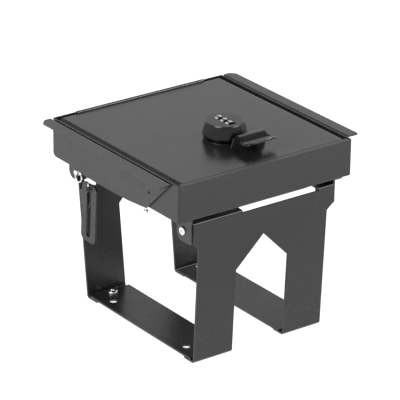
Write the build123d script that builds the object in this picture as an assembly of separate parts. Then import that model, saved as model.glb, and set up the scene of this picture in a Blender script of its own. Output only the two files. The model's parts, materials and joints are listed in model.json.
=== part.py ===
"""Floor-stand lock box: a shallow steel tray with a hinged lid and a dial lock, pivoting on a bent stand.

Frame: X to the right, Y to the rear, Z up, millimetres.  The dimensions count from the floor at the
centre of the four floor bolts; write() moves the origin under the middle of the tray.
"""
from build123d import *
import math
import os

# ---------------------------------------------------------------- stand
SHEET = 3.0                # thickness of the panels, straps, ears, rails and links
BEND = 2.0                 # inside radius of every press-brake bend
BASE_LENGTH = 266.7        # outer face of the front foot to outer face of the rear foot
PANEL_TOP = 218.5          # height of the stand's panels
FRONT_LEAN = 2.6           # degrees, top of the front panel towards the front
REAR_LEAN = 7.35           # degrees, top of the rear panel towards the rear
WING_HALF = 124.2          # half width across the wings at the top of a panel
LEG_HALF = 113.5           # half width across the outside of the legs
CUT_HALF = 46.2            # half width of the gable-shaped cut-out
WING_LOW = 193.0           # height of a wing's lower end
CHAMFER_LOW = 184.0        # height where the wing's slanted edge meets the leg
CUT_SHOULDER = 130.8       # height of the cut-out's straight sides
CUT_APEX = 176.8           # height of the cut-out's peak
FOOT_LENGTH = 24.0         # length of the foot flanges
WINDOW_X = (83.0, 104.0)   # spanner window behind each stay nut
WINDOW_Z = (167.0, 191.0)
STRAP_INNER = 44.3         # half gap between the two base straps
FLOOR_HOLE_R = 6.0
FLOOR_HOLE_X = 96.0
FLOOR_HOLE_Y = 91.0
STRAP_BOLT_X = 80.0
STRAP_BOLT_Y = 116.0
STRAP_BOLT_R = 3.0
STRAP_HEAD_R = 7.5
STRAP_HEAD_H = 3.8

# ---------------------------------------------------------------- tray
TRAY_WIDTH = 305.0
TRAY_DEPTH = 310.0
TRAY_HEIGHT = 56.0
TRAY_BOTTOM = 229.5
TRAY_FRONT = -146.0
TRAY_WALL = 2.0
TRAY_CORNER = 3.0
TRAY_LIP = 7.5             # reach of the turned-in lip along the tray's front
DOUBLER_HALF = 80.0
DOUBLER_LENGTH = 58.0
DOUBLER_THICK = 2.0
DOUBLER_SETBACK = 2.0
STUD_INSET = 6.5           # tray's side to the stop screw near each rail's front end
STUD_Y = -60.0
STUD_R = 1.5
STUD_DROP = 14.0
STUD_FOOT_R = 3.4
STUD_FOOT_H = 4.5
STUD_NUT_FLATS = 7.0
STUD_NUT_H = 3.6
STUD_HEAD_R = 3.0

# ---------------------------------------------------------------- ears, pivots and pins
EAR_GAP = 0.3              # running gap between an ear and the stand's side flange
EAR_LENGTH = 33.0
EAR_BOTTOM = 190.0
EAR_FOOT = 15.5            # width of the foot that welds to the tray's floor
EAR_INSET_FRONT = 5.0      # tray front to the front ear's leading edge
EAR_PIN = 6.7              # rear ear's leading edge to the release pin
PIVOT_Z = 206.2            # height of the pivot rivets and of the release pins
PIVOT_Y = -122.4
PIN_Y = 132.7
PIVOT_R = 4.0
PIN_R = 4.0
RUNNING = 0.05             # radial clearance of a pin in its hole
TOP_BEND = 4.0             # outside radius of the bend along the front panel's top
TOP_FLANGE = 17.0          # reach of the front panel's top flange, from the panel's outer face
TOP_NOTCH = (-39.0, 96.5)  # length of the top flange that is cut away
FLANGE_ROUND_FRONT = 19.0  # radius of the stand's side flange about the pivot
FLANGE_ROUND_REAR = 13.0   # the same about the release pin
RIVET_HEAD_R = 6.3
RIVET_HEAD_H = 2.6
PIN_COLLAR_R = 5.5
PIN_COLLAR_H = 2.0
PIN_TANG_R = 4.0
PIN_TANG_H = 5.2
PIN_TIP = 2.0              # pin standing out on the inside of the side flange
RING_WIRE_R = 1.1
RING_MEAN_R = 7.9
RING_SEAT = 0.55           # the wire's middle lies this far past the eye's centre
EYE_R = 2.0
RING_ANGLE = 225.0         # direction from the eye to the ring's centre, degrees from +Y about +X

# ---------------------------------------------------------------- slotted stays
STAY_SCREW_Y = 121.0
STAY_SCREW_Z = 180.0
STAY_OUTER = 118.0         # outer face of the link
STAY_WIDTH = 36.0
STAY_TOP = 187.8
STAY_BOTTOM = 94.8
STAY_CORNER = 8.0
STAY_TILT = 3.0            # degrees, lower end towards the rear
SLOT_HALF = 5.5
SLOT_MARGIN = 4.7          # metal left above the slot
SLOT_LOW_MARGIN = 7.5
STAY_SHANK_R = 2.0
STAY_BUSH_R = 2.9
STAY_HEAD_R = 4.5
STAY_HEAD_H = 3.0
LUG_R = 6.0
NUT_FLATS = 8.0
NUT_H = 4.0
SIDE_GAP = 0.3             # gap each side of a link

# ---------------------------------------------------------------- side rails
RAIL_REACH = 21.5          # width of a rail's flange, from the tray's side
RAIL_FRONT = -131.3        # front end of a rail's flange
RAIL_REAR_INSET = 0.4      # tray's rear face to the rear end of a rail's flange
RAIL_PLATE_INSET = 6.0     # tray's rear face to the rear edge of a rail's upright
RAIL_DIAGONAL = 58.0       # length of the upright's slanted front end, along Y
RAIL_DROP = 4.5            # how far the upright's middle reaches below the tray
RAIL_CORNER = 7.5
RAIL_HOLE_R = 2.0
RAIL_HOLE_Y = -80.0
RAIL_HOLE_Z = 255.6

# ---------------------------------------------------------------- lid and hinge
LID_THICK = 2.5
LID_SIDE_GAP = 3.2         # tray wall to the lid's side lip
LID_FRONT_GAP = 1.0        # tray's front lip to the lid's front edge
LID_ROLL = 8.0             # outside radius of the lid's turned-down sides
LID_LIP = 12.0             # depth of the lid's side lips
LID_MARKS = ((82.0, -95.0), (28.0, -98.5))
HINGE_SETBACK = 5.0        # hinge axis in front of the tray's outer rear face
BARREL_R = 3.0
HINGE_PIN_R = 1.5
LEAF = 1.5
LEAF_WIDTH = 20.0
KNUCKLE_PITCH = 43.2
KNUCKLE_NARROW = 11.0
KNUCKLE_GAP = 0.6
STIFF_Y = -97.0
STIFF_HALF = 15.0
STIFF_LENGTH = 240.0
STIFF_DEPTH = 13.0

# ---------------------------------------------------------------- lock
LOCK_X = 8.0
LOCK_Y = -36.0
ESCUTCHEON_R = 31.0
ESCUTCHEON_H = 1.5
KNOB_H = 24.2
KNOB_FOOT_R = 29.5
KNOB_WIDE_R = 32.3
KNOB_WIDE_Z = 6.0
KNOB_TOP_R = 26.8
KNOB_RIM = 1.2
KNOB_GAP = 0.3
DIAL_R = 8.0
DIAL_PROUD = 2.2
DIAL_WIDTH = 7.0
DIAL_BACK = 1.0            # the dials sit this far behind the knob's middle
DIAL_ROOM = 4.0            # window left open in front of each dial
DIAL_PITCH = 12.4
DIAL_GAP = 0.3
DIAL_FLATS = 10
AXLE_R = 1.5
AXLE_LENGTH = 42.0
SHAFT_R = 5.0
SLEEVE_R = 9.0
LOCK_NUT_FLATS = 26.0
LOCK_NUT_H = 3.0
CAM_THICK = 2.5
CAM_THROW = 8.0            # radius of the cam's drive pin
CAM_PIN_R = 2.5
BOLT_THICK = 3.0
BOLT_HALF = 14.0
BOLT_CLEAR = 0.5
BOLT_TIP_GAP = 13.5        # bolt's tip to the front wall's inner face, withdrawn
STRIKE_LIP = 8.0
STRIKE_HALF = 18.0

# ---------------------------------------------------------------- pull tab
TAB_X = 20.0
TAB_Y = -76.0
TAB_HALF = 22.0
TAB_BASE_HALF = 31.0
TAB_HEIGHT = 18.8          # top of the crest above the lid
TAB_CREST = 9.0            # length of the crest, before it falls into the scoop
TAB_DIP = 14.2             # lowest line of the finger scoop above the lid
TAB_LIP = 15.8             # the scoop's lip above the lid
TAB_REACH = 33.0
TAB_THICK = 2.0
TAB_CORNER = 10.0

# ---------------------------------------------------------------- lanyard
CORD_R = 0.6

# ---------------------------------------------------------------- worked out from the above
TRAY_TOP = TRAY_BOTTOM + TRAY_HEIGHT
TRAY_REAR = TRAY_FRONT + TRAY_DEPTH
TRAY_HALF = TRAY_WIDTH / 2
RAIL_OUT = TRAY_HALF + RAIL_REACH
RAIL_REAR = TRAY_REAR - RAIL_REAR_INSET
RAIL_PLATE_REAR = TRAY_REAR - RAIL_PLATE_INSET
STUD_X = TRAY_HALF - STUD_INSET
LID_TOP = TRAY_TOP
LID_LOW = LID_TOP - LID_THICK
HINGE_Y = TRAY_REAR - HINGE_SETBACK
HINGE_Z = TRAY_TOP
EAR_IN = WING_HALF + EAR_GAP
EAR_OUT = EAR_IN + SHEET
FRONT_EAR_Y = (TRAY_FRONT + EAR_INSET_FRONT, TRAY_FRONT + EAR_INSET_FRONT + EAR_LENGTH)
REAR_EAR_Y = (PIN_Y - EAR_PIN, PIN_Y - EAR_PIN + EAR_LENGTH)
COLLAR_OUT = EAR_OUT + EAR_GAP + PIN_COLLAR_H
EYE_X = COLLAR_OUT + EYE_R + 0.5
ORIGIN_Y = TRAY_FRONT + TRAY_DEPTH / 2
STAY_IN = STAY_OUTER - SHEET
LUG_OUT = STAY_IN - SIDE_GAP
LUG_IN = LUG_OUT - SHEET
HEAD_IN = STAY_OUTER + 1.0
KNOB_LOW = LID_TOP + ESCUTCHEON_H + KNOB_GAP
KNOB_TOP = KNOB_LOW + KNOB_H
DIAL_Z = KNOB_TOP + DIAL_PROUD - DIAL_R
CAM_TOP = LID_LOW - LOCK_NUT_H - 1.0
CAM_LOW = CAM_TOP - CAM_THICK
BOLT_TOP = CAM_LOW - 1.3
BOLT_LOW = BOLT_TOP - BOLT_THICK
CAM_OFFSET = CAM_THROW * math.sqrt(0.5)


# ---------------------------------------------------------------- helpers
def block(x, y, z):
    """A box from three (low, high) pairs."""
    size = (x[1] - x[0], y[1] - y[0], z[1] - z[0])
    centre = ((x[0] + x[1]) / 2, (y[0] + y[1]) / 2, (z[0] + z[1]) / 2)
    return Pos(*centre) * Box(*size)


def rod_x(radius, x, y, z):
    """A cylinder along X between x[0] and x[1]."""
    return Pos((x[0] + x[1]) / 2, y, z) * Rot(0, 90, 0) * Cylinder(radius, abs(x[1] - x[0]))


def rod_y(radius, x, y, z):
    """A cylinder along Y between y[0] and y[1]."""
    return Pos(x, (y[0] + y[1]) / 2, z) * Rot(90, 0, 0) * Cylinder(radius, abs(y[1] - y[0]))


def rod_z(radius, x, y, z):
    """A cylinder along Z between z[0] and z[1]."""
    return Pos(x, y, (z[0] + z[1]) / 2) * Cylinder(radius, abs(z[1] - z[0]))


def plate_yz(outline, x):
    """Extrude a sketch drawn in Y and Z along X, from x[0] to x[1]."""
    return extrude(Plane.YZ.offset(x[0]) * outline, x[1] - x[0], dir=(1, 0, 0))


def plate_xz(outline, y):
    """Extrude a sketch drawn in X and Z along Y, from y[0] to y[1]."""
    plane = Plane(origin=(0, y[1], 0), x_dir=(1, 0, 0), z_dir=(0, -1, 0))
    return extrude(plane * outline, y[1] - y[0], dir=(0, -1, 0))


def polygon(points):
    return Polygon(*points, align=None)


def disc(radius, u, v):
    return Pos(u, v) * Circle(radius)


def rectangle(u, v):
    return Pos((u[0] + u[1]) / 2, (v[0] + v[1]) / 2) * Rectangle(u[1] - u[0], v[1] - v[0])


def slot(half, u, v):
    """An upright slot with round ends, between v[0] and v[1]."""
    straight = rectangle((u - half, u + half), (v[0] + half, v[1] - half))
    return straight + disc(half, u, v[0] + half) + disc(half, u, v[1] - half)


def other_side(shape):
    return mirror(shape, about=Plane.YZ)


def both_sides(shape):
    return Compound(children=[shape, other_side(shape)])


def hexagon_x(flats, x, y, z):
    """A hexagonal nut blank along X."""
    face = Pos(y, z) * RegularPolygon(flats / 2, 6, major_radius=False)
    return plate_yz(face, x)


# ---------------------------------------------------------------- stand
def panel_section(lean, foot_y, inward):
    """The L-shaped section of a panel: a foot on the floor and a leaning web.

    inward is +1 when the foot points towards +Y, and -1 when it points towards -Y.
    """
    slope = math.radians(lean)
    height = PANEL_TOP + 20
    tip = height * math.tan(slope)
    inner_low = SHEET / math.cos(slope) - SHEET * math.tan(slope)
    points = [
        (foot_y, 0),
        (foot_y + inward * FOOT_LENGTH, 0),
        (foot_y + inward * FOOT_LENGTH, SHEET),
        (foot_y + inward * inner_low, SHEET),
        (foot_y + inward * (SHEET / math.cos(slope) - tip), height),
        (foot_y - inward * tip, height),
    ]
    section = polygon(points)
    outer = section.vertices().sort_by_distance((foot_y, 0, 0))[0]
    section = fillet(outer, BEND + SHEET)
    inner = section.vertices().sort_by_distance((foot_y + inward * inner_low, SHEET, 0))[0]
    return fillet(inner, BEND)


def panel_outline(windows):
    """The front view of a panel: wings, two legs and a gable-shaped cut-out."""
    outline = polygon([
        (-WING_HALF, PANEL_TOP), (-WING_HALF, WING_LOW), (-LEG_HALF, CHAMFER_LOW), (-LEG_HALF, -1),
        (LEG_HALF, -1), (LEG_HALF, CHAMFER_LOW), (WING_HALF, WING_LOW), (WING_HALF, PANEL_TOP),
    ])
    outline -= polygon([
        (-CUT_HALF, -2), (-CUT_HALF, CUT_SHOULDER), (0, CUT_APEX), (CUT_HALF, CUT_SHOULDER), (CUT_HALF, -2),
    ])
    if windows:
        outline -= rectangle(WINDOW_X, WINDOW_Z)
        outline -= rectangle((-WINDOW_X[1], -WINDOW_X[0]), WINDOW_Z)
    return outline


def face_y(lean, foot_y, inward, z):
    """Y of a panel's inner face at a height."""
    slope = math.radians(lean)
    return foot_y - inward * z * math.tan(slope) + inward * SHEET / math.cos(slope)


def side_flange(lean, foot_y, inward, hole_y, round_r):
    """The wing's side flange, bent round to carry the tray's pivot or pin."""
    wall = face_y(lean, foot_y, inward, PIVOT_Z) - inward * SHEET / 2
    low = max(WING_LOW, PIVOT_Z - round_r)
    high = min(PANEL_TOP, PIVOT_Z + round_r)
    span = (min(wall, hole_y), max(wall, hole_y))
    outline = rectangle(span, (low, high)) + disc(round_r, hole_y, PIVOT_Z)
    outline &= rectangle((hole_y - 80, hole_y + 80), (low, PIVOT_Z + round_r))
    outline -= disc(PIVOT_R + RUNNING, hole_y, PIVOT_Z)
    return plate_yz(outline, (WING_HALF - SHEET, WING_HALF))


def stand_panel(lean, foot_y, inward, hole_y, round_r, windows):
    section = panel_section(lean, foot_y, inward)
    body = plate_yz(section, (-WING_HALF, WING_HALF))
    body &= plate_xz(panel_outline(windows), (-BASE_LENGTH, BASE_LENGTH))
    flange = side_flange(lean, foot_y, inward, hole_y, round_r)
    body += flange
    body += other_side(flange)
    for x in (-STRAP_BOLT_X, STRAP_BOLT_X):
        body -= rod_z(STRAP_BOLT_R, x, -inward * STRAP_BOLT_Y, (-1, SHEET + 1))
    return body


def top_flange():
    """The front panel's turned-in top edge, cut away between the two ends of TOP_NOTCH."""
    face = -BASE_LENGTH / 2 - PANEL_TOP * math.tan(math.radians(FRONT_LEAN))
    high = PANEL_TOP + TOP_BEND
    section = polygon([
        (face, PANEL_TOP - 0.5), (face, high), (face + TOP_FLANGE, high), (face + TOP_FLANGE, high - SHEET),
        (face + SHEET, high - SHEET), (face + SHEET, PANEL_TOP - 0.5),
    ])
    outer = section.vertices().sort_by_distance((face, high, 0))[0]
    section = fillet(outer, TOP_BEND - 0.1)
    inner = section.vertices().sort_by_distance((face + SHEET, high - SHEET, 0))[0]
    section = fillet(inner, TOP_BEND - SHEET)
    left = plate_yz(section, (-WING_HALF, TOP_NOTCH[0]))
    right = plate_yz(section, (TOP_NOTCH[1], WING_HALF))
    return [left, right]


def front_panel():
    body = stand_panel(FRONT_LEAN, -BASE_LENGTH / 2, 1, PIVOT_Y, FLANGE_ROUND_FRONT, False)
    for piece in top_flange():
        body += piece
    return body


def rear_panel():
    return stand_panel(REAR_LEAN, BASE_LENGTH / 2, -1, PIN_Y, FLANGE_ROUND_REAR, True)


def base_strap():
    """The right-hand strap; it lies on the foot flanges between the two panels."""
    end = BASE_LENGTH / 2 - SHEET - 3 * BEND
    strap = block((STRAP_INNER, LEG_HALF), (-end, end), (SHEET, 2 * SHEET))
    for y in (-FLOOR_HOLE_Y, FLOOR_HOLE_Y):
        strap -= rod_z(FLOOR_HOLE_R, FLOOR_HOLE_X, y, (0, 3 * SHEET))
    for y in (-STRAP_BOLT_Y, STRAP_BOLT_Y):
        strap -= rod_z(STRAP_BOLT_R, STRAP_BOLT_X, y, (0, 3 * SHEET))
    return strap


def strap_bolts():
    """Four flanged button-head bolts, tapped into the feet and flush below."""
    bolt = rod_z(STRAP_HEAD_R, 0, 0, (2 * SHEET, 2 * SHEET + STRAP_HEAD_H))
    bolt = fillet(bolt.edges().group_by(Axis.Z)[-1], 2.6)
    bolt += rod_z(STRAP_BOLT_R, 0, 0, (0.3, 2 * SHEET + 1))
    socket = Pos(0, 0, 2 * SHEET + 1.6) * extrude(RegularPolygon(2.5, 6, major_radius=False), 10)
    bolt -= socket
    places = [(x, y) for x in (-STRAP_BOLT_X, STRAP_BOLT_X) for y in (-STRAP_BOLT_Y, STRAP_BOLT_Y)]
    return Compound(children=[Pos(x, y, 0) * bolt for x, y in places])


# ---------------------------------------------------------------- tray
def tray_shell():
    outer = block((-TRAY_HALF, TRAY_HALF), (TRAY_FRONT, TRAY_REAR), (TRAY_BOTTOM, TRAY_TOP))
    outer = fillet(outer.edges().filter_by(Axis.Z), TRAY_CORNER)
    outer = fillet(outer.edges().group_by(Axis.Z)[0], TRAY_CORNER)
    x = (-TRAY_HALF + TRAY_WALL, TRAY_HALF - TRAY_WALL)
    y = (TRAY_FRONT + TRAY_WALL, TRAY_REAR - TRAY_WALL)
    inner = block(x, y, (TRAY_BOTTOM + TRAY_WALL, TRAY_TOP + 10))
    inner = fillet(inner.edges().filter_by(Axis.Z), TRAY_CORNER - TRAY_WALL)
    inner = fillet(inner.edges().group_by(Axis.Z)[0], TRAY_CORNER - TRAY_WALL)
    shell = outer - inner
    lip_half = TRAY_HALF - TRAY_WALL - LID_SIDE_GAP
    shell += block((-lip_half, lip_half), (TRAY_FRONT + 0.5, TRAY_FRONT + TRAY_LIP), (TRAY_TOP - TRAY_WALL, TRAY_TOP))
    for side in (-STUD_X, STUD_X):
        shell -= rod_z(STUD_R, side, STUD_Y, (TRAY_BOTTOM - 1, TRAY_BOTTOM + TRAY_WALL + 1))
    return shell


def stud():
    """The right-hand stop screw, through the tray's floor."""
    floor = TRAY_BOTTOM + TRAY_WALL
    screw = rod_z(STUD_R, STUD_X, STUD_Y, (TRAY_BOTTOM - STUD_DROP, floor + 0.5))
    foot = rod_z(STUD_FOOT_R, STUD_X, STUD_Y, (TRAY_BOTTOM - STUD_DROP, TRAY_BOTTOM - STUD_DROP + STUD_FOOT_H))
    screw += chamfer(foot.edges().filter_by(GeomType.CIRCLE), 0.6)
    head = rod_z(STUD_HEAD_R, STUD_X, STUD_Y, (floor, floor + 1.8))
    return screw + fillet(head.edges().group_by(Axis.Z)[-1], 1.0)


def stud_nut():
    blank = Pos(STUD_X, STUD_Y, TRAY_BOTTOM - STUD_NUT_H) * extrude(
        RegularPolygon(STUD_NUT_FLATS / 2, 6, major_radius=False), STUD_NUT_H)
    return blank - rod_z(STUD_R, STUD_X, STUD_Y, (TRAY_BOTTOM - 10, TRAY_BOTTOM + 1))


def floor_doubler():
    y = (TRAY_FRONT + TRAY_CORNER + DOUBLER_SETBACK, TRAY_FRONT + TRAY_CORNER + DOUBLER_LENGTH)
    plate = block((-DOUBLER_HALF, DOUBLER_HALF), y, (TRAY_BOTTOM - DOUBLER_THICK, TRAY_BOTTOM))
    return fillet(plate.edges().filter_by(Axis.Z), 5)


def ear(span, open_notch):
    """The right-hand ear: an angle bracket under the tray's floor."""
    low = polygon([
        (span[0], TRAY_BOTTOM), (span[0], EAR_BOTTOM), (span[1], EAR_BOTTOM), (span[1], TRAY_BOTTOM),
    ])
    corners = low.vertices().group_by(Axis.Y)[0].sort_by(Axis.X)
    low = fillet(corners[1], 12)
    corners = low.vertices().sort_by_distance((span[0], EAR_BOTTOM, 0))
    low = fillet(corners[0], 5)
    hole_y = PIN_Y if open_notch else PIVOT_Y
    low -= disc(PIVOT_R + RUNNING, hole_y, PIVOT_Z)
    if open_notch:
        half = PIN_R + 0.4
        low -= disc(half, hole_y, PIVOT_Z)
        low -= rectangle((hole_y - half, hole_y + half), (EAR_BOTTOM - 5, PIVOT_Z))
    plate = plate_yz(low, (EAR_IN, EAR_OUT))
    foot = block((EAR_IN, EAR_IN + EAR_FOOT), span, (TRAY_BOTTOM - SHEET, TRAY_BOTTOM))
    return plate + foot


def pivot_rivet():
    """The right-hand shoulder rivet: domed head outside, flat head inside."""
    shank = rod_x(PIVOT_R, (WING_HALF - SHEET - 1, EAR_OUT + EAR_GAP + 1), PIVOT_Y, PIVOT_Z)
    head = rod_x(RIVET_HEAD_R, (EAR_OUT + EAR_GAP, EAR_OUT + EAR_GAP + RIVET_HEAD_H), PIVOT_Y, PIVOT_Z)
    head = fillet(head.edges().group_by(Axis.X)[-1], 1.6)
    head -= rod_x(2.0, (EAR_OUT + RIVET_HEAD_H - 0.6, EAR_OUT + 10), PIVOT_Y, PIVOT_Z)
    washer = rod_x(RIVET_HEAD_R, (WING_HALF - SHEET - 1.6, WING_HALF - SHEET), PIVOT_Y, PIVOT_Z)
    return shank + head + washer


# ---------------------------------------------------------------- release pins and rings
def release_pin():
    """The right-hand pin: shank, collar and an eyed tang."""
    tip = WING_HALF - SHEET - PIN_TIP
    pin = rod_x(PIN_R, (tip, COLLAR_OUT), PIN_Y, PIVOT_Z)
    pin = chamfer(pin.edges().group_by(Axis.X)[0], 0.8)
    pin += rod_x(PIN_COLLAR_R, (EAR_OUT + EAR_GAP, COLLAR_OUT), PIN_Y, PIVOT_Z)
    tang = rod_x(PIN_TANG_R, (COLLAR_OUT - 0.1, COLLAR_OUT + PIN_TANG_H), PIN_Y, PIVOT_Z)
    tang = fillet(tang.edges().group_by(Axis.X)[-1], 1.0)
    pin += tang
    eye = Cylinder(EYE_R, 4 * PIN_TANG_R)
    return pin - Pos(EYE_X, PIN_Y, PIVOT_Z) * Rot(RING_ANGLE, 0, 0) * eye


def ring_centre():
    angle = math.radians(RING_ANGLE)
    reach = RING_MEAN_R - RING_SEAT
    return (EYE_X, PIN_Y + reach * math.cos(angle), PIVOT_Z + reach * math.sin(angle))


def pin_ring():
    """A split ring through the pin's eye, flat against the tray's side."""
    return Pos(*ring_centre()) * Rot(0, 90, 0) * Torus(RING_MEAN_R, RING_WIRE_R)


# ---------------------------------------------------------------- slotted stays
def stay_link():
    """The right-hand link: a slotted strip that hangs on the bush and the stay screw."""
    side = (STAY_SCREW_Y - STAY_WIDTH / 2, STAY_SCREW_Y + STAY_WIDTH / 2)
    outline = rectangle(side, (STAY_BOTTOM, STAY_TOP))
    outline = fillet(outline.vertices(), STAY_CORNER)
    outline -= slot(SLOT_HALF, STAY_SCREW_Y, (STAY_BOTTOM + SLOT_LOW_MARGIN, STAY_TOP - SLOT_MARGIN))
    link = plate_yz(outline, (STAY_IN, STAY_OUTER))
    return link.rotate(Axis((0, STAY_SCREW_Y, STAY_SCREW_Z), (1, 0, 0)), STAY_TILT)


def stay_bush():
    bush = rod_x(STAY_BUSH_R, (STAY_IN - SIDE_GAP / 2, STAY_OUTER + SIDE_GAP / 2), STAY_SCREW_Y, STAY_SCREW_Z)
    return bush - rod_x(STAY_SHANK_R + RUNNING, (STAY_IN - 5, STAY_OUTER + 5), STAY_SCREW_Y, STAY_SCREW_Z)


def stay_screw():
    """Button-head screw: head outside the link, nut inside the lug."""
    shank = rod_x(STAY_SHANK_R, (LUG_IN - NUT_H - 1.5, HEAD_IN + 0.5), STAY_SCREW_Y, STAY_SCREW_Z)
    head = rod_x(STAY_HEAD_R, (HEAD_IN, HEAD_IN + STAY_HEAD_H), STAY_SCREW_Y, STAY_SCREW_Z)
    head = fillet(head.edges().group_by(Axis.X)[-1], 2.0)
    socket = hexagon_x(2.5, (HEAD_IN + STAY_HEAD_H - 1.5, HEAD_IN + 10), STAY_SCREW_Y, STAY_SCREW_Z)
    return shank + head - socket


def stay_nut():
    blank = hexagon_x(NUT_FLATS, (LUG_IN - NUT_H, LUG_IN), STAY_SCREW_Y, STAY_SCREW_Z)
    return blank - rod_x(STAY_SHANK_R, (LUG_IN - 20, LUG_IN + 5), STAY_SCREW_Y, STAY_SCREW_Z)


def stay_lug():
    """A lug welded to the rear panel's inner face that carries the stay screw."""
    wall = BASE_LENGTH / 2
    root_low = 146.0
    root_high = 160.0
    reach = STAY_SCREW_Y
    outline = polygon([
        (wall + 30, root_low), (wall + 30, root_high), (reach + LUG_R * 0.6, STAY_SCREW_Z + LUG_R * 0.8),
        (reach - LUG_R * 0.6, STAY_SCREW_Z - LUG_R * 0.8), (reach + 8, root_low),
    ])
    outline += disc(LUG_R, reach, STAY_SCREW_Z)
    outline -= disc(STAY_SHANK_R, reach, STAY_SCREW_Z)
    lug = plate_yz(outline, (LUG_IN, LUG_OUT))
    face = [face_y(REAR_LEAN, BASE_LENGTH / 2, -1, z) for z in (0, 300)]
    behind = polygon([(face[0], 0), (face[0] + 200, 0), (face[1] + 200, 300), (face[1], 300)])
    return lug - plate_yz(behind, (LUG_IN - 5, LUG_OUT + 5))


# ---------------------------------------------------------------- side rails
def side_rail():
    """The right-hand rail: an angle whose flange carries the box on a console's side."""
    middle_front = RAIL_HOLE_Y + 50
    upright = polygon([
        (RAIL_FRONT, TRAY_TOP), (RAIL_FRONT + RAIL_DIAGONAL, TRAY_BOTTOM),
        (middle_front, TRAY_BOTTOM - RAIL_DROP * 0.8), (middle_front + 30, TRAY_BOTTOM - RAIL_DROP),
        (middle_front + 110, TRAY_BOTTOM - RAIL_DROP), (middle_front + 148, TRAY_BOTTOM),
        (RAIL_PLATE_REAR, TRAY_BOTTOM), (RAIL_PLATE_REAR, TRAY_TOP),
    ])
    corner = upright.vertices().sort_by_distance((RAIL_PLATE_REAR, TRAY_BOTTOM, 0))[0]
    upright = fillet(corner, RAIL_CORNER)
    upright -= disc(RAIL_HOLE_R, RAIL_HOLE_Y, RAIL_HOLE_Z)
    section = polygon([
        (TRAY_HALF, TRAY_BOTTOM - 20), (TRAY_HALF + SHEET, TRAY_BOTTOM - 20),
        (TRAY_HALF + SHEET, TRAY_TOP - SHEET), (RAIL_OUT, TRAY_TOP - SHEET),
        (RAIL_OUT, TRAY_TOP), (TRAY_HALF, TRAY_TOP),
    ])
    outer = section.vertices().sort_by_distance((TRAY_HALF, TRAY_TOP, 0))[0]
    section = fillet(outer, BEND + SHEET)
    inner = section.vertices().sort_by_distance((TRAY_HALF + SHEET, TRAY_TOP - SHEET, 0))[0]
    section = fillet(inner, BEND)
    rail = plate_xz(section, (RAIL_FRONT, RAIL_REAR))
    flange_zone = block((TRAY_HALF + SHEET, RAIL_OUT + 1), (RAIL_FRONT, RAIL_REAR),
                        (TRAY_TOP - SHEET, TRAY_TOP + 1))
    rail = (rail & plate_yz(upright, (TRAY_HALF - 1, RAIL_OUT + 1))) + (rail & flange_zone)
    corner_cut = polygon([(RAIL_OUT - RAIL_CORNER, RAIL_REAR), (RAIL_OUT + 1, RAIL_REAR - RAIL_CORNER - 1),
                          (RAIL_OUT + 1, RAIL_REAR + 1), (RAIL_OUT - RAIL_CORNER, RAIL_REAR + 1)])
    return rail - extrude(Plane.XY.offset(TRAY_TOP - 10) * corner_cut, 20)


# ---------------------------------------------------------------- lid and hinge
def lid_plate():
    """A pressed plate whose two sides roll down into lips; two small spot marks by the front edge."""
    half = TRAY_HALF - TRAY_WALL - LID_SIDE_GAP
    y = (TRAY_FRONT + TRAY_LIP + LID_FRONT_GAP, HINGE_Y - BARREL_R - 0.5)
    z = (LID_TOP - LID_LIP, LID_TOP)
    lid = block((-half, half), y, z)
    lid = fillet(lid.edges().filter_by(Axis.Y).group_by(Axis.Z)[-1], LID_ROLL)
    inside = block((-half + LID_THICK, half - LID_THICK), (y[0] - 1, y[1] + 1), (z[0] - 1, LID_LOW))
    lid -= fillet(inside.edges().filter_by(Axis.Y).group_by(Axis.Z)[-1], LID_ROLL - LID_THICK)
    for x, mark_y in LID_MARKS:
        lid -= rod_z(0.9, x, mark_y, (LID_TOP - 0.5, LID_TOP + 1))
    return lid - rod_z(SLEEVE_R, LOCK_X, LOCK_Y, (LID_LOW - 5, LID_TOP + 5))


def knuckles(lid_side):
    """Centres and lengths of the hinge knuckles of one leaf."""
    if lid_side:
        length = KNUCKLE_PITCH - KNUCKLE_NARROW - 2 * KNUCKLE_GAP
        return [(k * KNUCKLE_PITCH, length) for k in (-2, -1, 0, 1, 2)]
    return [((k + 0.5) * KNUCKLE_PITCH, KNUCKLE_NARROW) for k in (-3, -2, -1, 0, 1, 2)]


def hinge_barrels(lid_side, bore_r):
    parts = []
    for centre, length in knuckles(lid_side):
        barrel = Pos(centre, HINGE_Y, HINGE_Z) * Rot(0, 90, 0) * Cylinder(BARREL_R, length)
        parts.append(barrel - Pos(centre, HINGE_Y, HINGE_Z) * Rot(0, 90, 0) * Cylinder(bore_r, length + 2))
    return parts


def hinge_leaf_lid():
    """The leaf under the lid, with the wide knuckles."""
    half = 2.5 * KNUCKLE_PITCH + KNUCKLE_NARROW / 2
    leaf = block((-half, half), (HINGE_Y - LEAF_WIDTH, HINGE_Y - BARREL_R - 1.2), (LID_LOW - LEAF, LID_LOW))
    for centre, length in knuckles(True):
        finger = block((centre - length / 2, centre + length / 2),
                       (HINGE_Y - BARREL_R - 1.2, HINGE_Y), (LID_LOW - LEAF, LID_LOW))
        finger += block((centre - length / 2, centre + length / 2),
                        (HINGE_Y - 1.2, HINGE_Y), (LID_LOW - LEAF, HINGE_Z - HINGE_PIN_R - 0.5))
        leaf += finger - rod_x(HINGE_PIN_R + RUNNING, (centre - 40, centre + 40), HINGE_Y, HINGE_Z)
    for barrel in hinge_barrels(True, HINGE_PIN_R + RUNNING):
        leaf += barrel
    return leaf


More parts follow.
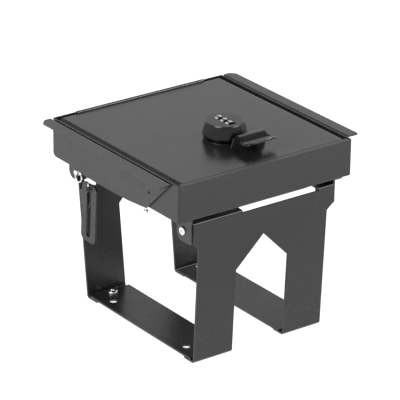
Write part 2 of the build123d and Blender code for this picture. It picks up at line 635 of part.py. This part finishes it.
def hinge_leaf_tray():
    """The leaf on the rear wall's inner face, with the narrow knuckles."""
    half = 2.5 * KNUCKLE_PITCH + KNUCKLE_NARROW / 2
    wall = TRAY_REAR - TRAY_WALL
    leaf = block((-half, half), (wall - LEAF, wall), (HINGE_Z - LEAF_WIDTH, HINGE_Z - BARREL_R - 1.2))
    for centre, length in knuckles(False):
        leaf += block((centre - length / 2, centre + length / 2),
                      (HINGE_Y + HINGE_PIN_R + 0.3, wall), (HINGE_Z - BARREL_R - 1.2, HINGE_Z))
    for barrel in hinge_barrels(False, HINGE_PIN_R):
        leaf += barrel
    return leaf


def hinge_pin():
    half = 2.5 * KNUCKLE_PITCH + KNUCKLE_NARROW / 2
    return rod_x(HINGE_PIN_R, (-half, half), HINGE_Y, HINGE_Z)


def lid_stiffener():
    """A channel welded under the lid; windows in its webs guide the latch bolt."""
    x = (-STIFF_LENGTH / 2, STIFF_LENGTH / 2)
    y = (STIFF_Y - STIFF_HALF, STIFF_Y + STIFF_HALF)
    channel = block(x, y, (LID_LOW - STIFF_DEPTH, LID_LOW))
    channel -= block((x[0] - 1, x[1] + 1), (y[0] + LEAF, y[1] - LEAF), (LID_LOW - STIFF_DEPTH - 1, LID_LOW - LEAF))
    window_x = (LOCK_X - BOLT_HALF - BOLT_CLEAR, LOCK_X + BOLT_HALF + BOLT_CLEAR)
    return channel - block(window_x, (y[0] - 1, y[1] + 1), (BOLT_LOW - BOLT_CLEAR, BOLT_TOP + BOLT_CLEAR))


def pull_tab():
    """A bent sheet: an upright web, a crest, and a finger scoop that reaches forward."""
    middle = LID_TOP - TAB_THICK / 2
    route = FilletPolyline(
        (TAB_Y, LID_TOP), (TAB_Y, middle + TAB_HEIGHT), (TAB_Y - TAB_CREST, middle + TAB_HEIGHT),
        (TAB_Y - 18, middle + TAB_DIP), (TAB_Y - 24, middle + TAB_DIP), (TAB_Y - TAB_REACH, middle + TAB_LIP),
        radius=[3.0, 12.0, 14.0, 18.0])
    sheet = plate_yz(trace(route, TAB_THICK), (TAB_X - TAB_BASE_HALF, TAB_X + TAB_BASE_HALF))
    slope = TAB_BASE_HALF - TAB_HALF
    rise = TAB_HEIGHT - 3
    for side in (-1, 1):
        wide = TAB_X + side * (TAB_BASE_HALF + 5)
        base = TAB_X + side * TAB_BASE_HALF
        edge = TAB_X + side * TAB_HALF
        top = LID_TOP + TAB_HEIGHT + 5
        waste = polygon([(wide, LID_TOP - 5), (base, LID_TOP - 5), (base, LID_TOP),
                         (base - side * slope * 0.45, LID_TOP + rise - 2), (edge, LID_TOP + rise),
                         (edge, top), (wide, top)])
        sheet -= plate_xz(waste, (TAB_Y - TAB_REACH - 5, TAB_Y + TAB_THICK))
        tip = TAB_Y - TAB_REACH - TAB_THICK
        centre = (edge - side * TAB_CORNER, tip + TAB_CORNER + TAB_THICK)
        corner = block((min(edge, centre[0]), max(edge, centre[0])), (tip - 1, centre[1]),
                       (LID_TOP + 5, top))
        corner -= rod_z(TAB_CORNER, centre[0], centre[1], (LID_TOP, top + 5))
        sheet -= corner
    return sheet


# ---------------------------------------------------------------- lock
def lock_escutcheon():
    """A flange on the lid with a sleeve through it."""
    plate = rod_z(ESCUTCHEON_R, LOCK_X, LOCK_Y, (LID_TOP, LID_TOP + ESCUTCHEON_H))
    plate = fillet(plate.edges().group_by(Axis.Z)[-1], 0.8)
    plate += rod_z(SLEEVE_R, LOCK_X, LOCK_Y, (LID_LOW - LOCK_NUT_H - 0.5, LID_TOP + 0.1))
    return plate - rod_z(SHAFT_R + RUNNING, LOCK_X, LOCK_Y, (LID_LOW - 30, LID_TOP + 30))


def lock_nut():
    blank = Pos(LOCK_X, LOCK_Y, LID_LOW - LOCK_NUT_H) * extrude(
        RegularPolygon(LOCK_NUT_FLATS / 2, 6, major_radius=False), LOCK_NUT_H)
    return blank - rod_z(SLEEVE_R, LOCK_X, LOCK_Y, (LID_LOW - 30, LID_TOP + 30))


def lock_knob():
    """The round knob, with a window and a pocket for each dial."""
    rim = KNOB_H - KNOB_RIM
    with BuildSketch(Plane.XZ) as half:
        with BuildLine():
            Line((0, 0), (KNOB_FOOT_R, 0))
            low = ThreePointArc((KNOB_FOOT_R, 0), (KNOB_WIDE_R - 0.6, KNOB_WIDE_Z * 0.45), (KNOB_WIDE_R, KNOB_WIDE_Z))
            Line(low @ 1, (KNOB_TOP_R + 0.9, rim))
            Line((KNOB_TOP_R + 0.9, rim), (KNOB_TOP_R, KNOB_H))
            Line((KNOB_TOP_R, KNOB_H), (0, KNOB_H))
            Line((0, KNOB_H), (0, 0))
        make_face()
    knob = Pos(LOCK_X, LOCK_Y, KNOB_LOW) * revolve(half.sketch, Axis.Z)
    for k in (-1, 0, 1):
        centre = LOCK_Y + DIAL_BACK + k * DIAL_PITCH
        span = (centre - DIAL_WIDTH / 2 - DIAL_ROOM, centre + DIAL_WIDTH / 2 + DIAL_GAP)
        knob -= rod_y(DIAL_R + 2 * DIAL_GAP, LOCK_X, span, DIAL_Z)
    return knob - rod_y(AXLE_R, LOCK_X, (LOCK_Y - AXLE_LENGTH / 2, LOCK_Y + AXLE_LENGTH / 2), DIAL_Z)


def dial_axle():
    return rod_y(AXLE_R, LOCK_X, (LOCK_Y - AXLE_LENGTH / 2, LOCK_Y + AXLE_LENGTH / 2), DIAL_Z)


def dial_wheel(k):
    """A ten-sided number wheel with turned rims."""
    centre = LOCK_Y + DIAL_BACK + k * DIAL_PITCH
    flats = RegularPolygon(DIAL_R - 0.35, DIAL_FLATS, rotation=18, major_radius=False)
    plane = Plane(origin=(LOCK_X, centre + DIAL_WIDTH / 2, DIAL_Z), x_dir=(1, 0, 0), z_dir=(0, -1, 0))
    wheel = extrude(plane * flats, DIAL_WIDTH)
    wheel &= rod_y(DIAL_R, LOCK_X, (centre - DIAL_WIDTH, centre + DIAL_WIDTH), DIAL_Z)
    rim = DIAL_WIDTH * 0.14
    for side in (-1, 1):
        outer = centre + side * DIAL_WIDTH / 2
        wheel += rod_y(DIAL_R - 0.1, LOCK_X, (min(outer, outer - side * rim), max(outer, outer - side * rim)), DIAL_Z)
    return wheel - rod_y(AXLE_R + RUNNING, LOCK_X, (centre - 20, centre + 20), DIAL_Z)


def lock_shaft():
    return rod_z(SHAFT_R, LOCK_X, LOCK_Y, (CAM_LOW, KNOB_LOW))


def lock_cam():
    """The cam plate, with a drive pin that works in the latch bolt's cross slot."""
    offset = (LOCK_X + CAM_OFFSET, LOCK_Y + CAM_OFFSET)
    cam = rod_z(SHAFT_R + 4, LOCK_X, LOCK_Y, (CAM_LOW, CAM_TOP))
    cam += rod_z(CAM_PIN_R + 2.5, offset[0], offset[1], (CAM_LOW, CAM_TOP))
    cam += rod_z(CAM_PIN_R, offset[0], offset[1], (BOLT_LOW, CAM_TOP))
    return cam - rod_z(SHAFT_R, LOCK_X, LOCK_Y, (CAM_LOW - 5, CAM_TOP + 5))


def latch_bolt():
    tip = TRAY_FRONT + TRAY_WALL + BOLT_TIP_GAP
    drive_y = LOCK_Y + CAM_OFFSET
    half = CAM_PIN_R + BOLT_CLEAR
    bolt = block((LOCK_X - BOLT_HALF, LOCK_X + BOLT_HALF), (tip, drive_y + half + 6), (BOLT_LOW, BOLT_TOP))
    bolt = chamfer(bolt.edges().filter_by(Axis.Z).group_by(Axis.Y)[0], 4)
    slot_x = (LOCK_X + CAM_OFFSET - half, LOCK_X + CAM_THROW + half)
    bolt -= block(slot_x, (drive_y - half, drive_y + half), (BOLT_LOW - 1, BOLT_TOP + 1))
    return bolt


def latch_strike():
    """An angle on the front wall's inner face; the bolt slides under its lip."""
    wall = TRAY_FRONT + TRAY_WALL
    lip = (BOLT_TOP + 1.0, BOLT_TOP + 1.0 + LEAF)
    x = (LOCK_X - STRIKE_HALF, LOCK_X + STRIKE_HALF)
    return block(x, (wall, wall + LEAF), (BOLT_LOW - 12, lip[1])) + block(x, (wall, wall + STRIKE_LIP), lip)


# ---------------------------------------------------------------- lanyard, left side only
def lanyard_points():
    """The wire's route from the crimp on the pin's collar to the terminal on the stay screw."""
    return [
        (-128.9, 138.4, 216.2),
        (-128.9, 140.7, 220.2),
        (-130.8, 145.0, 223.8),
        (-135.6, 148.9, 225.6),
        (-141.8, 147.4, 225.7),
        (-145.0, 140.8, 225.0),
        (-144.4, 132.4, 223.6),
        (-139.6, 124.4, 219.4),
        (-132.4, 118.6, 212.2),
        (-125.8, 117.2, 204.0),
        (-121.3, 119.0, 197.0),
        (-119.8, 121.0, 192.8),
        (-119.8, 121.0, 188.8),
    ]


def corner_radii(points):
    """Radius of the arc at each corner: 0.45 of the shorter run over the tangent of half the turn."""
    radii = []
    for a, b, c in zip(points, points[1:], points[2:]):
        before = Vector(*b) - Vector(*a)
        after = Vector(*c) - Vector(*b)
        turn = math.radians(before.get_angle(after))
        radii.append(0.45 * min(before.length, after.length) / math.tan(turn / 2))
    return radii


def lanyard():
    points = lanyard_points()
    radii = corner_radii(points)
    path = FilletPolyline(*points, radius=radii)
    print("lanyard radii", [round(r, 1) for r in radii], "length", round(path.length, 1))
    start = Plane(origin=path @ 0, z_dir=path % 0)
    wire = sweep(start * Circle(CORD_R), path=path)
    print("lanyard volume ratio", round(wire.volume / (math.pi * CORD_R ** 2 * path.length), 4))
    return wire


def crimp(start, end, radius):
    a = Vector(*start)
    b = Vector(*end)
    plane = Plane(origin=a, z_dir=(b - a).normalized())
    return extrude(plane * Circle(radius), (b - a).length)


def lanyard_crimp():
    """The sleeve that ties the wire to the pin's collar."""
    points = lanyard_points()
    end = Vector(*points[0])
    hub = Vector(end.X, -0.0 + PIN_Y, PIVOT_Z)
    direction = (end - hub).normalized()
    start = hub + direction * (PIN_COLLAR_R - 0.6)
    sleeve = crimp(tuple(start), tuple(end), 2 * CORD_R)
    return sleeve - rod_x(PIN_COLLAR_R, (-EAR_OUT - 10, -EAR_OUT + 5), PIN_Y, PIVOT_Z)


def lanyard_terminal():
    """A ring terminal under the left stay screw's head."""
    washer = rod_x(4.2, (-HEAD_IN, -HEAD_IN + 0.8), STAY_SCREW_Y, STAY_SCREW_Z)
    end = lanyard_points()[-1]
    tongue = block((-HEAD_IN - 0.2, -HEAD_IN + 0.8), (STAY_SCREW_Y - 1.5, STAY_SCREW_Y + 1.5),
                   (STAY_SCREW_Z + STAY_HEAD_R + 0.3, STAY_SCREW_Z + STAY_HEAD_R + 1.5))
    tongue += block((-HEAD_IN, -HEAD_IN + 0.8), (STAY_SCREW_Y - 1.5, STAY_SCREW_Y + 1.5),
                    (STAY_SCREW_Z + 2.5, STAY_SCREW_Z + STAY_HEAD_R + 0.5))
    barrel = rod_z(1.2, end[0], end[1], (STAY_SCREW_Z + STAY_HEAD_R + 0.3, end[2]))
    part = washer + tongue + barrel
    return part - rod_x(STAY_SHANK_R, (-HEAD_IN - 5, -HEAD_IN + 5), STAY_SCREW_Y, STAY_SCREW_Z)


# ---------------------------------------------------------------- write every node
def write(name, shape):
    solids = [Pos(0, -ORIGIN_Y, 0) * solid for solid in shape.solids()]
    node = solids[0] if len(solids) == 1 else Compound(children=solids)
    export_step(node, os.path.join("parts", name + ".step"))


def main():
    os.makedirs("parts", exist_ok=True)
    write("front_panel", front_panel())
    write("rear_panel", rear_panel())
    write("strap_bolts", strap_bolts())
    write("tray_shell", tray_shell())
    write("floor_doubler", floor_doubler())
    write("pivot_rivets", both_sides(pivot_rivet()))
    write("lid_plate", lid_plate())
    write("hinge_leaf_lid", hinge_leaf_lid())
    write("hinge_leaf_tray", hinge_leaf_tray())
    write("hinge_pin", hinge_pin())
    write("lid_stiffener", lid_stiffener())
    write("pull_tab", pull_tab())
    write("lock_escutcheon", lock_escutcheon())
    write("lock_nut", lock_nut())
    write("lock_knob", lock_knob())
    write("lock_shaft", lock_shaft())
    write("lock_cam", lock_cam())
    write("latch_bolt", latch_bolt())
    write("latch_strike", latch_strike())
    write("dial_axle", dial_axle())
    for number, k in ((1, 1), (2, 0), (3, -1)):
        write("dial_wheel_%d" % number, dial_wheel(k))
    right_hand = {
        "base_strap": base_strap(),
        "front_ear": ear(FRONT_EAR_Y, False),
        "rear_ear": ear(REAR_EAR_Y, True),
        "release_pin": release_pin(),
        "pin_ring": pin_ring(),
        "side_rail": side_rail(),
        "stay_link": stay_link(),
        "stay_bush": stay_bush(),
        "stay_screw": stay_screw(),
        "stay_nut": stay_nut(),
        "stay_lug": stay_lug(),
        "stud": stud(),
        "stud_nut": stud_nut(),
    }
    for name, shape in right_hand.items():
        write(name + "_right", shape)
        write(name + "_left", other_side(shape))
    write("lanyard", lanyard())
    write("lanyard_crimp", lanyard_crimp())
    write("lanyard_terminal", lanyard_terminal())


main()
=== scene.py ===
"""The looks of the lock box on its floor stand: powder coat, plated hardware, dial lock and lanyard."""

import json
import math

import bmesh
import bpy
from mathutils import Matrix, Vector


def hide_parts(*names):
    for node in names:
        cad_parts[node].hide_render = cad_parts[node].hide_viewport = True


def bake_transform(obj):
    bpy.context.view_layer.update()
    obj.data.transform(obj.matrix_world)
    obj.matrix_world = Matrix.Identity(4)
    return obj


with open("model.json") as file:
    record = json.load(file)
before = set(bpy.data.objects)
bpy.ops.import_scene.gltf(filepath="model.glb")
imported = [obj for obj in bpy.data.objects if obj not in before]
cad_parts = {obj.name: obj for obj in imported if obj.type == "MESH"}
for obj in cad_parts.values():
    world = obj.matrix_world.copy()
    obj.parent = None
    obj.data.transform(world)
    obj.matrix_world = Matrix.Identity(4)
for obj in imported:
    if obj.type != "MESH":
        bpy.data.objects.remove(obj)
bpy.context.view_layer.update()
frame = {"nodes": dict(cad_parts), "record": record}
NODES = frame["nodes"]
MM = 0.001


# ------------------------------------------------------------ camera
CAMERA_AZIMUTH, CAMERA_ELEVATION, CAMERA_ROLL = -36.76, 23.57, 0.8    # degrees
CAMERA_PLACE = (-2.25935, -3.02382, 1.82047)
LENS_MM, SENSOR_MM = 256.0, 36.0


def camera():
    """A long lens, from the front left and above."""
    azimuth, elevation, roll = (math.radians(a) for a in (CAMERA_AZIMUTH, CAMERA_ELEVATION, CAMERA_ROLL))
    back = Vector((math.sin(azimuth) * math.cos(elevation), -math.cos(azimuth) * math.cos(elevation),
                   math.sin(elevation)))
    right = Vector((math.cos(azimuth), math.sin(azimuth), 0))
    up = back.cross(right)
    x_axis = right * math.cos(roll) + up * math.sin(roll)
    y_axis = up * math.cos(roll) - right * math.sin(roll)
    data = bpy.data.cameras.new("camera")
    data.lens = LENS_MM
    data.sensor_width = SENSOR_MM
    data.clip_start = 0.1
    data.clip_end = 50.0
    obj = bpy.data.objects.new("camera", data)
    bpy.context.scene.collection.objects.link(obj)
    turn = Matrix((x_axis, y_axis, back)).transposed().to_4x4()
    obj.matrix_world = Matrix.Translation(CAMERA_PLACE) @ turn
    bpy.context.scene.camera = obj


camera()


# ------------------------------------------------------------ node helpers
def new_material(name):
    material = bpy.data.materials.new(name)
    material.use_nodes = True
    tree = material.node_tree
    tree.nodes.clear()
    out = tree.nodes.new("ShaderNodeOutputMaterial")
    shader = tree.nodes.new("ShaderNodeBsdfPrincipled")
    tree.links.new(shader.outputs["BSDF"], out.inputs["Surface"])
    return material, tree, shader


def add(tree, kind, **values):
    """A node; values set its properties, or its input sockets where a key has no such property."""
    node = tree.nodes.new(kind)
    for key, value in values.items():
        if hasattr(node, key):
            setattr(node, key, value)
        else:
            node.inputs[key.replace("_", " ")].default_value = value
    return node


def noise(tree, scale, detail=3.0, roughness=0.5):
    place = tree.nodes.get("place") or add(tree, "ShaderNodeTexCoord", name="place")
    node = add(tree, "ShaderNodeTexNoise", Scale=scale, Detail=detail, Roughness=roughness)
    tree.links.new(place.outputs["Object"], node.inputs["Vector"])
    return node.outputs["Fac"]


def ramp(tree, factor, stops):
    """A colour ramp from (position, colour) pairs."""
    node = add(tree, "ShaderNodeValToRGB")
    while len(node.color_ramp.elements) < len(stops):
        node.color_ramp.elements.new(0.5)
    for element, (position, colour) in zip(node.color_ramp.elements, stops):
        element.position = position
        element.color = colour if len(colour) == 4 else (*colour, 1)
    tree.links.new(factor, node.inputs["Fac"])
    return node.outputs["Color"]


def spread(tree, factor, low, high):
    """Map a 0-1 factor to the range low to high."""
    node = add(tree, "ShaderNodeMapRange")
    node.inputs["To Min"].default_value = low
    node.inputs["To Max"].default_value = high
    tree.links.new(factor, node.inputs["Value"])
    return node.outputs["Result"]


def mix(tree, factor, a, b):
    node = add(tree, "ShaderNodeMix", data_type="RGBA")
    tree.links.new(factor, node.inputs["Factor"])
    for value, socket in ((a, node.inputs[6]), (b, node.inputs[7])):
        if hasattr(value, "default_value"):
            tree.links.new(value, socket)
        else:
            socket.default_value = (*value, 1)
    return node.outputs[2]


def edge_wear(tree, low, high):
    """1 on worn outer edges, from how far the surface's pointiness stands out, broken up by noise."""
    geometry = add(tree, "ShaderNodeNewGeometry")
    sharp = add(tree, "ShaderNodeMapRange")
    sharp.inputs["From Min"].default_value = low
    sharp.inputs["From Max"].default_value = high
    tree.links.new(geometry.outputs["Pointiness"], sharp.inputs["Value"])
    broken = ramp(tree, noise(tree, 420, 4), [(0.42, (0, 0, 0)), (0.62, (1, 1, 1))])
    product = add(tree, "ShaderNodeMath", operation="MULTIPLY")
    tree.links.new(sharp.outputs["Result"], product.inputs[0])
    tree.links.new(broken, product.inputs[1])
    return product.outputs["Value"]


def bump(tree, shader, heights):
    """Stack (height, strength, distance) layers of bump."""
    normal = None
    for height, strength, distance in heights:
        node = add(tree, "ShaderNodeBump")
        node.inputs["Strength"].default_value = strength
        node.inputs["Distance"].default_value = distance
        tree.links.new(height, node.inputs["Height"])
        if normal is not None:
            tree.links.new(normal, node.inputs["Normal"])
        normal = node.outputs["Normal"]
    tree.links.new(normal, shader.inputs["Normal"])


# ------------------------------------------------------------ materials
def powder_coat(name, dark, light, rough, texture, gloss=0.5):
    """Black powder coat: a faint orange peel, fine grit, soft tone drift and dusty edges."""
    material, tree, shader = new_material(name)
    drift = ramp(tree, noise(tree, 9, 2), [(0.3, dark), (0.7, light)])
    grit = noise(tree, 2600, 2)
    speck = ramp(tree, grit, [(0.55, (0, 0, 0)), (0.8, (1, 1, 1))])
    toned = mix(tree, spread(tree, speck, 0.0, 0.12), drift, tuple(1.8 * c for c in light))
    worn = mix(tree, edge_wear(tree, 0.53, 0.66), toned, tuple(4.0 * c for c in light))
    tree.links.new(worn, shader.inputs["Base Color"])
    tree.links.new(spread(tree, noise(tree, 34, 3), rough - 0.04, rough + 0.05), shader.inputs["Roughness"])
    shader.inputs["Specular IOR Level"].default_value = gloss
    bump(tree, shader, [(noise(tree, 700, 2), texture, 0.00012), (grit, texture * 0.8, 0.00004)])
    return material


def plated(name, tint, rough, brushed=0.0):
    """Bright zinc or chrome plate with fine scratches and slightly dull patches."""
    material, tree, shader = new_material(name)
    shade = ramp(tree, noise(tree, 160, 3), [(0.3, tuple(0.86 * c for c in tint)), (0.7, tint)])
    tree.links.new(shade, shader.inputs["Base Color"])
    shader.inputs["Metallic"].default_value = 1.0
    tree.links.new(spread(tree, noise(tree, 900, 3), rough - 0.04, rough + 0.08), shader.inputs["Roughness"])
    bump(tree, shader, [(noise(tree, 1500, 2), 0.12 + brushed, 0.00003)])
    return material


def black_oxide(name):
    material, tree, shader = new_material(name)
    shade = ramp(tree, noise(tree, 220, 3), [(0.3, (0.012, 0.012, 0.013)), (0.7, (0.026, 0.026, 0.028))])
    tree.links.new(shade, shader.inputs["Base Color"])
    shader.inputs["Metallic"].default_value = 0.6
    tree.links.new(spread(tree, noise(tree, 600, 2), 0.32, 0.45), shader.inputs["Roughness"])
    bump(tree, shader, [(noise(tree, 1200, 2), 0.15, 0.00003)])
    return material


BODY_DARK, BODY_LIGHT = (0.0065, 0.0063, 0.0064), (0.009, 0.0088, 0.0089)
STAND_PAINT = powder_coat("stand_powder_coat", BODY_DARK, BODY_LIGHT, 0.30, 0.10, 0.42)
TRAY_PAINT = powder_coat("tray_powder_coat", BODY_DARK, BODY_LIGHT, 0.29, 0.10)
LID_PAINT = powder_coat("lid_powder_coat", (0.0055, 0.0053, 0.0054), (0.0075, 0.0073, 0.0074), 0.23, 0.05)
KNOB_BLACK = powder_coat("lock_enamel", (0.0035, 0.0035, 0.0037), (0.005, 0.005, 0.0052), 0.24, 0.05, 0.36)
ZINC = plated("bright_zinc", (0.86, 0.86, 0.88), 0.20)
STEEL = plated("turned_steel", (0.62, 0.62, 0.64), 0.30, 0.1)
CHROME = plated("dial_chrome", (0.90, 0.90, 0.92), 0.14)
OXIDE = black_oxide("black_oxide")
WIRE = plated("wire_rope", (0.74, 0.74, 0.76), 0.30, 0.2)

FINISH = {
    "stand_paint": STAND_PAINT, "tray_paint": TRAY_PAINT, "lid_paint": LID_PAINT, "lock_black": KNOB_BLACK,
    "bright_zinc": ZINC, "steel": STEEL, "dial_chrome": CHROME, "black_oxide": OXIDE, "wire": WIRE,
}
SLOT_OF = {row["node"]: row["material_slot"] for row in frame["record"]["subparts"]}
for name, node in NODES.items():
    node.data.materials.clear()
    node.data.materials.append(FINISH[SLOT_OF[name]])


# ------------------------------------------------------------ lanyard
ROUTE_FORWARD = 9.0    # the whole route lies this far ahead of the points below
ROUTE = [
    (-128.9, 138.4, 216.2), (-128.9, 140.7, 220.2), (-130.8, 145.0, 223.8), (-135.6, 148.9, 225.6),
    (-141.8, 147.4, 225.7), (-145.0, 140.8, 225.0), (-144.4, 132.4, 223.6), (-139.6, 124.4, 219.4),
    (-132.4, 118.6, 212.2), (-125.8, 117.2, 204.0), (-121.3, 119.0, 197.0), (-119.8, 121.0, 192.8),
    (-119.8, 121.0, 188.8),
]
ROUTE = [Vector((x, y - ROUTE_FORWARD, z)) * MM for x, y, z in ROUTE]
WIRE_R = 0.6 * MM
STRAND_SHARE = 0.36    # a strand's radius over the rope's
STRAND_CORNERS = 6


def spline_points(route):
    """Points along the route's NURBS spline."""
    curve = bpy.data.curves.new("route", "CURVE")
    curve.dimensions = "3D"
    curve.resolution_u = 16
    spline = curve.splines.new("NURBS")
    spline.points.add(len(route) - 1)
    for point, place in zip(spline.points, route):
        point.co = (*place, 1)
    spline.order_u = 3
    spline.use_endpoint_u = True
    holder = bpy.data.objects.new("route", curve)
    bpy.context.scene.collection.objects.link(holder)
    mesh = bpy.data.meshes.new_from_object(holder)
    points = [vertex.co.copy() for vertex in mesh.vertices]
    bpy.data.objects.remove(holder)
    return points


def link_object(name, mesh, material):
    obj = bpy.data.objects.new(name, mesh)
    bpy.context.scene.collection.objects.link(obj)
    mesh.materials.append(material)
    return obj


def frames_along(points):
    """A point, a side and an up for each point of a line, without twist."""
    rows = []
    side = Vector((1, 0, 0))
    for k, point in enumerate(points):
        ahead = (points[min(k + 1, len(points) - 1)] - points[max(k - 1, 0)]).normalized()
        side = (side - ahead * side.dot(ahead)).normalized()
        rows.append((point, side.copy(), ahead.cross(side)))
    return rows


def rope(name, points, radius, material, strands=6, lay=0.006):
    """A wire rope: strands that wind about the line; lay is the length of one full winding."""
    mesh = bpy.data.meshes.new(name)
    work = bmesh.new()
    rows = frames_along(points)
    lengths = [0.0]
    for a, b in zip(points, points[1:]):
        lengths.append(lengths[-1] + (b - a).length)
    strand_r = radius * STRAND_SHARE
    ring_r = radius - strand_r
    for strand in range(strands):
        rings = []
        for (point, side, up), run in zip(rows, lengths):
            turn = 2 * math.pi * (run / lay + strand / strands)
            centre = point + (side * math.cos(turn) + up * math.sin(turn)) * ring_r
            ring = []
            for corner in range(STRAND_CORNERS):
                angle = 2 * math.pi * corner / STRAND_CORNERS + turn
                ring.append(work.verts.new(centre + (side * math.cos(angle) + up * math.sin(angle)) * strand_r))
            rings.append(ring)
        for a, b in zip(rings, rings[1:]):
            for corner in range(STRAND_CORNERS):
                after = (corner + 1) % STRAND_CORNERS
                work.faces.new((a[corner], a[after], b[after], b[corner]))
        work.faces.new(list(reversed(rings[0])))
        work.faces.new(rings[-1])
    for face in work.faces:
        face.smooth = True
    work.to_mesh(mesh)
    work.free()
    return link_object(name, mesh, material)


LINE = spline_points(ROUTE)
lanyard = rope("lanyard_rope", LINE, WIRE_R, WIRE)
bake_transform(lanyard)
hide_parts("lanyard")


# ------------------------------------------------------------ floor and light
def floor():
    work = bmesh.new()
    bmesh.ops.create_grid(work, x_segments=1, y_segments=1, size=14.0)
    mesh = bpy.data.meshes.new("floor")
    work.to_mesh(mesh)
    work.free()
    material, tree, shader = new_material("studio_floor")
    tone = ramp(tree, noise(tree, 3, 2), [(0.3, (0.38, 0.38, 0.38)), (0.7, (0.40, 0.40, 0.40))])
    tree.links.new(tone, shader.inputs["Base Color"])
    glow = ramp(tree, noise(tree, 2, 1), [(0.3, (0.99, 0.99, 0.99)), (0.7, (1.0, 1.0, 1.0))])
    tree.links.new(glow, shader.inputs["Emission Color"])
    shader.inputs["Emission Strength"].default_value = 0.86
    shader.inputs["Roughness"].default_value = 0.9
    shader.inputs["Specular IOR Level"].default_value = 0.1
    obj = link_object("floor", mesh, material)
    obj.location.z = -0.0002


def panel_light(name, place, target, size, power):
    data = bpy.data.lights.new(name, "AREA")
    data.shape = "RECTANGLE"
    data.size, data.size_y = size
    data.energy = power
    obj = bpy.data.objects.new(name, data)
    bpy.context.scene.collection.objects.link(obj)
    obj.location = place
    obj.rotation_euler = (Vector(target) - Vector(place)).to_track_quat("-Z", "Y").to_euler()


def studio():
    world = bpy.data.worlds.new("studio")
    bpy.context.scene.world = world
    world.use_nodes = True
    tree = world.node_tree
    place = tree.nodes.new("ShaderNodeTexCoord")
    split = tree.nodes.new("ShaderNodeSeparateXYZ")
    tree.links.new(place.outputs["Generated"], split.inputs["Vector"])
    sky = ramp(tree, split.outputs["Z"], [(0.46, (0.90, 0.90, 0.90)), (0.64, (0.12, 0.12, 0.12))])
    tree.links.new(sky, tree.nodes["Background"].inputs["Color"])
    tree.nodes["Background"].inputs["Strength"].default_value = 1.0
    middle = (0, 0, 0.2)
    panel_light("key", (-2.6, -0.2, 2.4), middle, (1.6, 1.6), 95)
    panel_light("front", (1.6, -1.4, 2.3), middle, (1.6, 1.2), 55)
    bpy.context.scene.view_settings.view_transform = "Standard"


floor()
studio()
